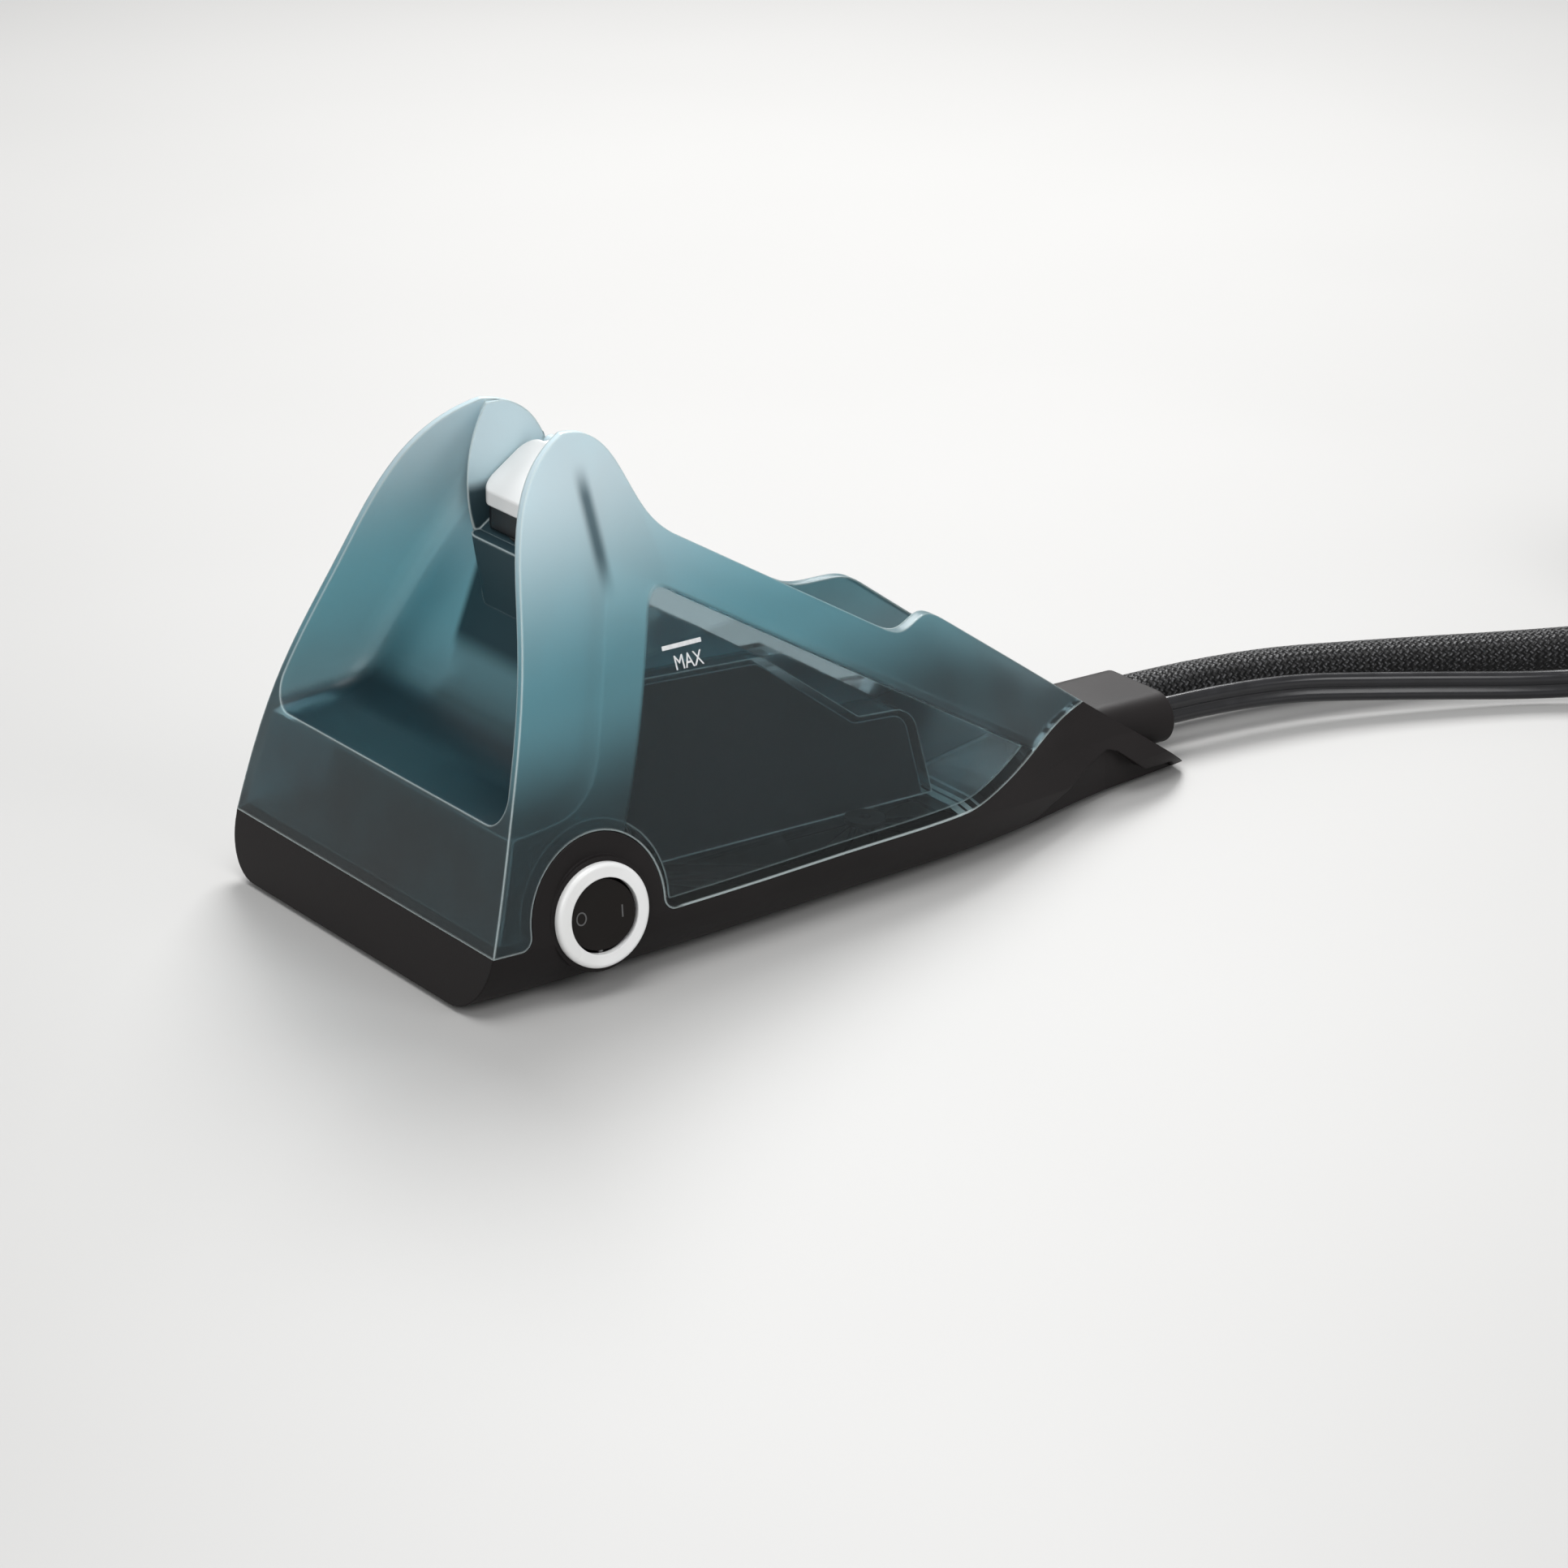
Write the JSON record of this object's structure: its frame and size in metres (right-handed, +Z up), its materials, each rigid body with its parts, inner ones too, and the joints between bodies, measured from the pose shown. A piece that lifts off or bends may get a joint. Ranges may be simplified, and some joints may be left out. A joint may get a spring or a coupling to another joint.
{
  "type": "steam mop tank unit",
  "caption": "Floor-standing steam mop tank unit: wedge water tank on a dark base with a round rocker switch, hinged filler cap, rear exit block, steam hose and mains lead.",
  "frame": {"origin": "middle of the unit's bounding box on the floor, cords left out", "axes": "+X rearward to the hose exit, +Y away from the switch side, +Z up"},
  "size_m": [0.7397, 0.2061, 0.157],
  "materials": {
    "charcoal_plastic": "satin charcoal",
    "teal_tank": "frosted teal clear plastic",
    "dark_cover": "dark grey",
    "zinc_steel": "zinc plated",
    "black_rubber": "black",
    "cast_aluminium": "cast",
    "black_phenolic": "black",
    "grey_plastic": "grey",
    "silicone_tube": "pale silicone",
    "brass": "plain",
    "lead_vinyl": "black vinyl",
    "white_plastic": "white",
    "rocker_black": "black",
    "cap_dark": "dark grey",
    "hose_braid": "black textile braid",
    "tie_strap": "black hook strap"
  },
  "bodies": {
    "base": {"base_hull": "charcoal_plastic", "bottom_plate": "charcoal_plastic", "exit_block": "charcoal_plastic", "water_tank": "teal_tank", "boiler_cover": "dark_cover", "plate_screws": "zinc_steel", "rubber_feet": "black_rubber", "boiler_bracket": "zinc_steel", "boiler": "cast_aluminium", "boiler_lid": "cast_aluminium", "thermostat": "black_phenolic", "thermal_fuse": "zinc_steel", "pump": "grey_plastic", "pump_mounts": "black_rubber", "outlet_grommet": "black_rubber", "suction_tube": "silicone_tube", "feed_tube": "silicone_tube", "steam_tube": "silicone_tube", "hose_fitting": "brass", "lead_tail": "lead_vinyl", "terminal_block": "grey_plastic", "switch_bezel": "white_plastic", "switch_can": "black_phenolic", "switch_terminals": "brass", "rocker_pin": "zinc_steel", "cap_hinge_pin": "zinc_steel", "filler_strainer": "grey_plastic", "steam_hose": "hose_braid", "hose_coil": "hose_braid", "hose_tie": "tie_strap", "hose_connector": "charcoal_plastic", "mains_lead": "lead_vinyl", "lead_coil": "lead_vinyl", "lead_tie": "tie_strap", "plug_body": "lead_vinyl", "plug_blades": "brass"},
    "cap": {"cap_lid": "white_plastic", "cap_body": "cap_dark", "cap_seal": "black_rubber"},
    "rocker": {"switch_rocker": "rocker_black"}
  },
  "joints": [
    {"name": "cap_hinge", "type": "hinge", "parent": "base", "child": "cap", "pos_m": [-0.06795, 0, 0.1406], "axis": [0, 1, 0], "range_deg": [0, 100]},
    {"name": "switch_tilt", "type": "hinge", "parent": "base", "child": "rocker", "pos_m": [-0.11055, -0.07301, 0.02536], "axis": [0, 0.0872, 0.9962], "range_deg": [0, 14]}
  ]
}
